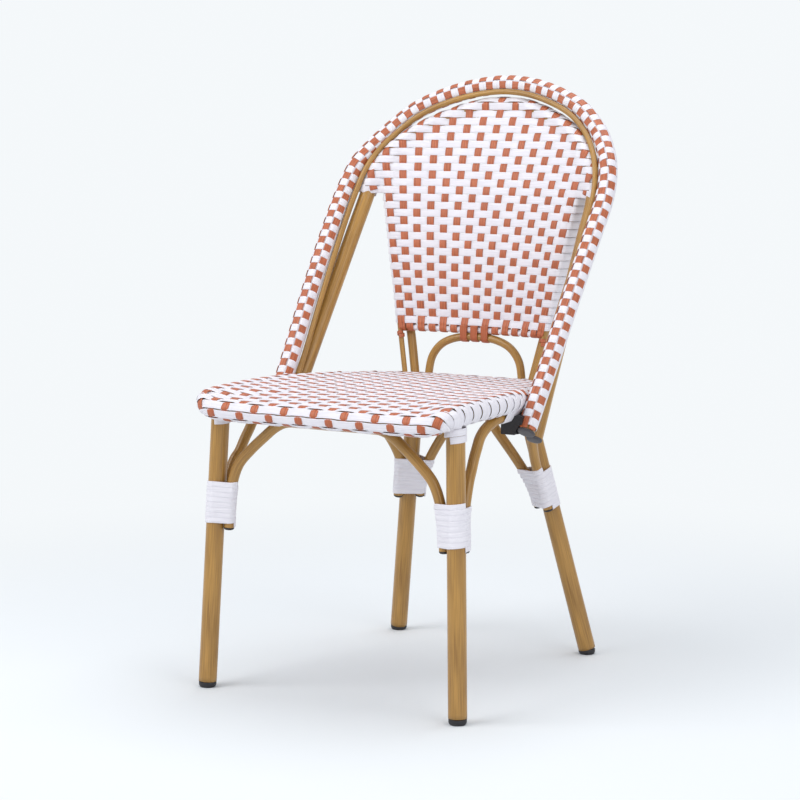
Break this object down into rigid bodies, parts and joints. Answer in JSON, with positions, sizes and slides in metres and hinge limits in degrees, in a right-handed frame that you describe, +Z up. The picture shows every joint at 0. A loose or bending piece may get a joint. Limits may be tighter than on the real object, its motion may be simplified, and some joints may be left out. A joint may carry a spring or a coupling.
{
  "type": "woven bistro chair",
  "caption": "Bistro chair with a bent tube frame, a rounded hoop back and a checkered plastic-strand woven seat and back.",
  "frame": {"origin": "middle of the bounding box's bottom face, on the floor under the chair", "axes": "+Z up, the sitter faces -Y, +X is the sitter's left hand"},
  "size_m": [0.51, 0.6052, 0.9345],
  "materials": {
    "bamboo_tube": "aluminium tube with a lacquered golden bamboo pattern, fine lengthwise streaks, semi-gloss",
    "white_strand": "flat extruded plastic strand, off-white, finely ribbed along its length",
    "terracotta_strand": "flat extruded plastic strand, terracotta with lengthwise streaks, slightly glossy",
    "black_plastic": "moulded near-black plastic, satin",
    "screw_steel": "plain steel screws"
  },
  "bodies": {
    "root": {"back_panel_weave": "white_strand", "front_binding_left": "white_strand", "front_binding_right": "white_strand", "front_brace": "bamboo_tube", "front_brace_cap_left": "black_plastic", "front_brace_cap_right": "black_plastic", "front_foot_glide_left": "black_plastic", "front_foot_glide_right": "black_plastic", "front_leg_left": "bamboo_tube", "front_leg_right": "bamboo_tube", "hoop_bracket_left": "black_plastic", "hoop_bracket_right": "black_plastic", "hoop_spacer_rod": "bamboo_tube", "inner_hoop": "bamboo_tube", "inner_hoop_cap_left": "black_plastic", "inner_hoop_cap_right": "black_plastic", "inner_hoop_screw_left": "screw_steel", "inner_hoop_screw_right": "screw_steel", "lumbar_arch": "bamboo_tube", "lumbar_tie_1": "terracotta_strand", "lumbar_tie_2": "terracotta_strand", "lumbar_tie_3": "terracotta_strand", "outer_hoop": "bamboo_tube", "outer_hoop_cap_left": "black_plastic", "outer_hoop_cap_right": "black_plastic", "outer_hoop_screw_left": "screw_steel", "outer_hoop_screw_right": "screw_steel", "outer_hoop_weave": "white_strand", "panel_bottom_rail": "bamboo_tube", "panel_post_left": "bamboo_tube", "panel_post_right": "bamboo_tube", "panel_side_rod_left": "bamboo_tube", "panel_side_rod_right": "bamboo_tube", "rear_binding_left": "white_strand", "rear_binding_right": "white_strand", "rear_brace": "bamboo_tube", "rear_brace_cap_left": "black_plastic", "rear_brace_cap_right": "black_plastic", "rear_foot_glide_left": "black_plastic", "rear_foot_glide_right": "black_plastic", "rear_leg_left": "bamboo_tube", "rear_leg_right": "bamboo_tube", "seat_cross_rail": "bamboo_tube", "seat_frame_bow": "bamboo_tube", "seat_front_rail": "bamboo_tube", "seat_stretcher": "bamboo_tube", "seat_weave": "white_strand", "side_brace_front_cap_left": "black_plastic", "side_brace_front_cap_right": "black_plastic", "side_brace_left": "bamboo_tube", "side_brace_rear_cap_left": "black_plastic", "side_brace_rear_cap_right": "black_plastic", "side_brace_right": "bamboo_tube", "side_brace_screw_left": "screw_steel", "side_brace_screw_right": "screw_steel"}
  },
  "joints": []
}
